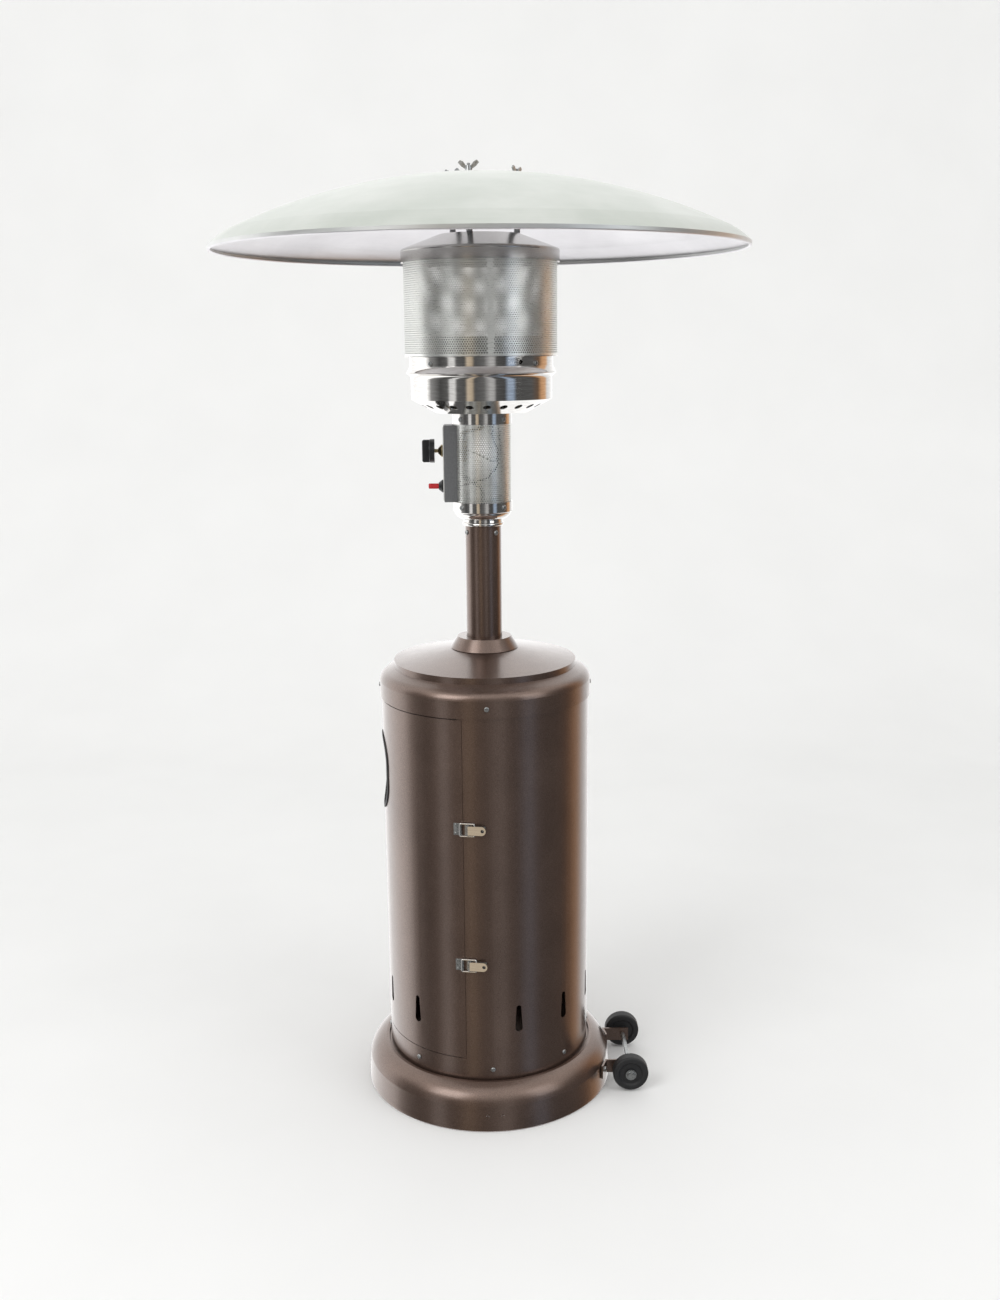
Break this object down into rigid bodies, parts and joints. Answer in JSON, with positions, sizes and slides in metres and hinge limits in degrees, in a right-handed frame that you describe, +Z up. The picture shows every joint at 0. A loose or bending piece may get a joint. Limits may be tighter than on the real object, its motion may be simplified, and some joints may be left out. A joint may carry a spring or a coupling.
{
  "type": "patio heater",
  "caption": "Free-standing gas patio heater: round base, tank housing with a latched door, pole, perforated emitter and a wide domed reflector.",
  "frame": {"origin": "middle of the base on the floor", "axes": "+Z up; -Y towards the side with the door seam and latches; the control panel is on -X and the transport wheels are on +X"},
  "size_m": [0.8552, 0.8552, 1.5624],
  "materials": {
    "painted_steel": "hammered bronze paint",
    "stainless": "brushed",
    "chrome": "polished",
    "zinc": "zinc plated",
    "aluminium": "satin",
    "grey_paint": "grey paint",
    "white_plate": "satin",
    "brass": "satin",
    "black_plastic": "satin",
    "red_plastic": "gloss",
    "rubber": "matte",
    "wire_black": "matte"
  },
  "bodies": {
    "frame": {"base_pan": "painted_steel", "base_collar": "painted_steel", "uprights": "zinc", "pole_plate": "zinc", "pole": "painted_steel", "frame_bolts": "zinc", "housing_shell": "painted_steel", "door_jamb": "painted_steel", "hinge_leaves_shell": "painted_steel", "pivot_pins": "zinc", "latch_base_lower": "zinc", "latch_base_upper": "zinc", "latch_rivets": "zinc", "lid": "painted_steel", "pole_collar": "painted_steel", "housing_screws": "zinc", "control_base": "chrome", "control_cover": "stainless", "control_panel": "grey_paint", "panel_plate": "white_plate", "valve_fitting": "brass", "igniter_bezel": "black_plastic", "igniter_body": "black_plastic", "valve_body": "brass", "neck_collar": "chrome", "head_screws": "zinc", "gas_pipe": "zinc", "gas_inlet": "brass", "gas_jet": "brass", "burner_tube": "stainless", "burner_drum": "stainless", "burner_bowl": "chrome", "bowl_band": "chrome", "pilot_burner": "stainless", "pilot_tube": "zinc", "ignition_lead": "wire_black", "thermocouple": "zinc", "emitter_screen": "stainless", "head_cap": "stainless", "cap_ring": "stainless", "reflector": "aluminium", "reflector_studs": "zinc", "reflector_spacers": "zinc", "wing_nuts": "zinc", "axle": "zinc", "axle_caps": "zinc", "wheel_arms": "painted_steel"},
    "door": {"tank_door": "painted_steel", "hand_hole_trim": "rubber", "hinge_leaves_door": "painted_steel", "latch_strikes": "zinc"},
    "lever_lower": {"latch_lever_lower": "chrome"},
    "lever_upper": {"latch_lever_upper": "chrome"},
    "bail_lower": {"latch_bail_lower": "chrome"},
    "bail_upper": {"latch_bail_upper": "chrome"},
    "spindle": {"valve_spindle": "brass"},
    "knob": {"control_knob": "black_plastic"},
    "button": {"igniter_button": "red_plastic"},
    "front_wheel": {"wheel_front": "rubber"},
    "rear_wheel": {"wheel_rear": "rubber"}
  },
  "joints": [
    {"name": "door_hinge", "type": "hinge", "parent": "frame", "child": "door", "pos_m": [-0.09994, 0.15043, 0.4], "axis": [0, 0, -1], "range_deg": [0, 110], "deforming": ["latch_bail_lower", "latch_bail_upper"]},
    {"name": "latch_lower_lever", "type": "hinge", "parent": "frame", "child": "lever_lower", "pos_m": [-0.03062, -0.17783, 0.283], "axis": [0, 0, -1], "range_deg": [0, 120]},
    {"name": "latch_lower_bail", "type": "hinge", "parent": "lever_lower", "child": "bail_lower", "pos_m": [-0.02012, -0.17859, 0.283], "axis": [0, 0, -1], "range_deg": [-150, 1]},
    {"name": "latch_upper_lever", "type": "hinge", "parent": "frame", "child": "lever_upper", "pos_m": [-0.03062, -0.17783, 0.52], "axis": [0, 0, -1], "range_deg": [0, 120]},
    {"name": "latch_upper_bail", "type": "hinge", "parent": "lever_upper", "child": "bail_upper", "pos_m": [-0.02012, -0.17859, 0.52], "axis": [0, 0, -1], "range_deg": [-150, 1]},
    {"name": "knob_push", "type": "slide", "parent": "frame", "child": "spindle", "axis": [1, 0, 0], "range_m": [0, 0.004], "stiffness_N_per_m": 800},
    {"name": "knob_turn", "type": "hinge", "parent": "spindle", "child": "knob", "pos_m": [-0.0786, 0, 1.116], "axis": [-1, 0, 0], "range_deg": [0, 180]},
    {"name": "igniter_push", "type": "slide", "parent": "frame", "child": "button", "axis": [1, 0, 0], "range_m": [0, 0.006], "stiffness_N_per_m": 600},
    {"name": "front_wheel_spin", "type": "hinge", "parent": "frame", "child": "front_wheel", "pos_m": [0.248, -0.086, 0.034], "axis": [0, 1, 0], "continuous": true},
    {"name": "rear_wheel_spin", "type": "hinge", "parent": "frame", "child": "rear_wheel", "pos_m": [0.248, 0.07, 0.034], "axis": [0, 1, 0], "continuous": true}
  ],
  "couplings": [
    {"joint": "latch_lower_bail", "follows": "latch_lower_lever", "ratio": -1.2},
    {"joint": "latch_upper_bail", "follows": "latch_upper_lever", "ratio": -1.2}
  ]
}
